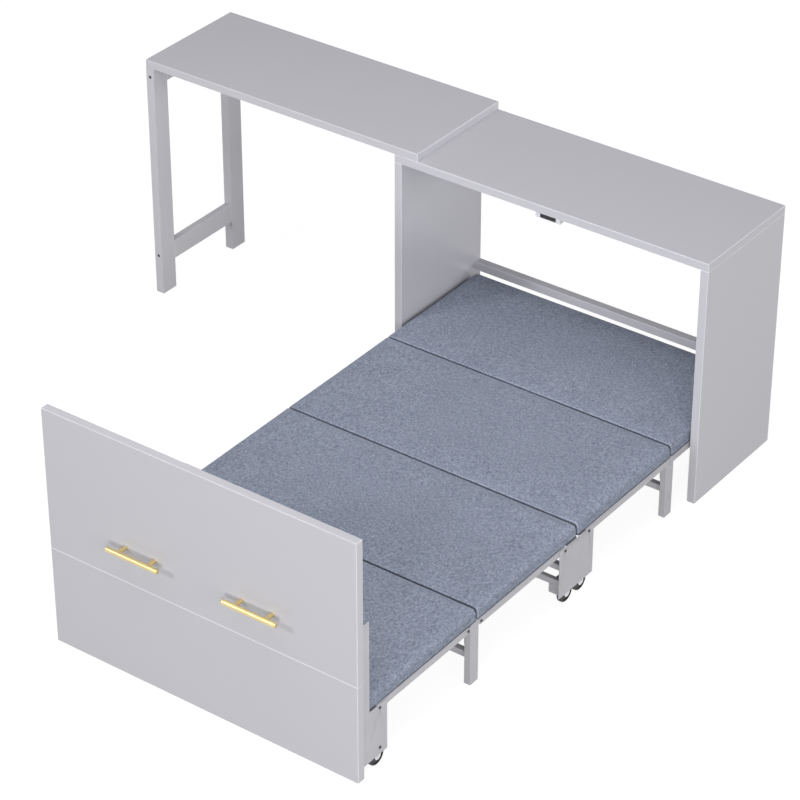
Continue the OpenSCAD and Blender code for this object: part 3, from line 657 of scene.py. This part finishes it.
# Name, place, target, size and watts of each light, and whether glossy surfaces reflect it
LIGHTS = (
    ("key", (4.0, -8.4, 1.6), (0.2, -0.9, 0.4), (1.1, 1.0), 222, True),
    ("right", (5.2, -2.2, 1.6), (0, -0.2, 0.4), (2.4, 2.4), 90, True),
    ("high right", (6.4, -7.1, 4.5), (0, -0.3, 0.3), (2.2, 2.2), 165, True),
    ("left", (-4.8, -8.1, 5.3), (0.2, -0.9, 0.4), (1.5, 1.5), 280, True),
    ("top", (0.5, -1.3, 5.2), (0, -0.2, 0.4), (4.5, 4.0), 120, True),
    ("over the bed", (0.3, -1.0, 2.6), (0.1, 0.7, 0.5), (1.8, 1.2), 9, True),
    ("rear", (2.6, 4.8, 1.2), (0, 0.6, 0.5), (2.4, 1.8), 70, True),
    ("rear left", (-5.0, 4.5, 1.6), (0, 0.3, 0.4), (2.4, 2.0), 50, False),
)
WHITE = (1, 1, 1)
AMBIENT_TINT = (0.96, 0.97, 1.0)
AMBIENT = 0.24
FLOOR_GLOW = 0.93
FLOOR_MATT = 0.13
FLOOR_BOUNCE = 0.22
FLOOR_HALF = 14.0
FLOOR_Z = -0.5 * MM
CAMERA_PLACE = (4.5518, -5.6597, 4.9671)
CAMERA_DOWN = 32.893
CAMERA_TURN = 36.352
CAMERA_LENS = 140.04


def area_light(name, place, target, size, power, gloss):
    """An oblong light that looks at a target."""
    data = bpy.data.lights.new(name, "AREA")
    data.shape = "RECTANGLE"
    data.size, data.size_y = size
    data.energy = power
    light = bpy.data.objects.new(name, data)
    light.location = place
    light.visible_glossy = gloss
    aim = Vector(target) - Vector(place)
    light.rotation_euler = aim.to_track_quat("-Z", "Y").to_euler()
    bpy.context.scene.collection.objects.link(light)


def emission(tree, kind, color, strength):
    """A glowing or ambient shader."""
    return node(tree, kind, Color=(*color, 1), Strength=strength).outputs[0]


def matt(tree, grey):
    """A matt grey shader."""
    return node(tree, "ShaderNodeBsdfDiffuse", Color=(grey, grey, grey, 1)).outputs[0]


def choose_by_ray(tree, rays, shown, hidden, output_kind):
    """Outputs one shader to the rays of the given kinds, and another to all else."""
    path = tree.nodes.new("ShaderNodeLightPath")
    seen = path.outputs[rays[0]]
    for ray in rays[1:]:
        seen = maths(tree, "MAXIMUM", seen, path.outputs[ray])
    choose = tree.nodes.new("ShaderNodeMixShader")
    for socket, value in zip(choose.inputs, (seen, hidden, shown)):
        tree.links.new(value, socket)
    out = tree.nodes.new(output_kind)
    tree.links.new(choose.outputs[0], out.inputs["Surface"])


def floor_white():
    """White where the camera, gloss or glass sees it, and a plain bounce for all else."""
    mat = bpy.data.materials.new("floor_white")
    mat.use_nodes = True
    tree = mat.node_tree
    tree.nodes.clear()
    both = tree.nodes.new("ShaderNodeAddShader")
    tree.links.new(emission(tree, "ShaderNodeEmission", WHITE, FLOOR_GLOW), both.inputs[0])
    tree.links.new(matt(tree, FLOOR_MATT), both.inputs[1])
    rays = ("Is Camera Ray", "Is Glossy Ray", "Is Transmission Ray")
    shown, hidden = both.outputs[0], matt(tree, FLOOR_BOUNCE)
    choose_by_ray(tree, rays, shown, hidden, "ShaderNodeOutputMaterial")
    return mat


def make_floor():
    """A white floor just under the wheels and feet."""
    mesh = bpy.data.meshes.new("floor")
    corners = [(-1, -1), (1, -1), (1, 1), (-1, 1)]
    verts = [(x * FLOOR_HALF, y * FLOOR_HALF, FLOOR_Z) for x, y in corners]
    mesh.from_pydata(verts, [], [(0, 1, 2, 3)])
    floor = bpy.data.objects.new("floor", mesh)
    bpy.context.scene.collection.objects.link(floor)
    mesh.materials.append(floor_white())


def make_world():
    """A white background for the camera and glass, and soft ambient light for all else."""
    world = bpy.data.worlds.new("studio")
    bpy.context.scene.world = world
    world.use_nodes = True
    tree = world.node_tree
    tree.nodes.clear()
    shown = emission(tree, "ShaderNodeBackground", WHITE, 1.0)
    hidden = emission(tree, "ShaderNodeBackground", AMBIENT_TINT, AMBIENT)
    rays = ("Is Camera Ray", "Is Transmission Ray")
    choose_by_ray(tree, rays, shown, hidden, "ShaderNodeOutputWorld")


def make_camera():
    """The photograph's view: from the front right, looking down."""
    data = bpy.data.cameras.new("camera")
    data.lens = CAMERA_LENS
    data.sensor_width = 36
    data.clip_end = 100
    camera = bpy.data.objects.new("camera", data)
    camera.location = CAMERA_PLACE
    camera.rotation_euler = (math.radians(90 - CAMERA_DOWN), 0, math.radians(CAMERA_TURN))
    bpy.context.scene.collection.objects.link(camera)
    bpy.context.scene.camera = camera


make_camera()
make_world()
make_floor()
for light_row in LIGHTS:
    area_light(*light_row)

bpy.context.scene.view_settings.view_transform = "Standard"
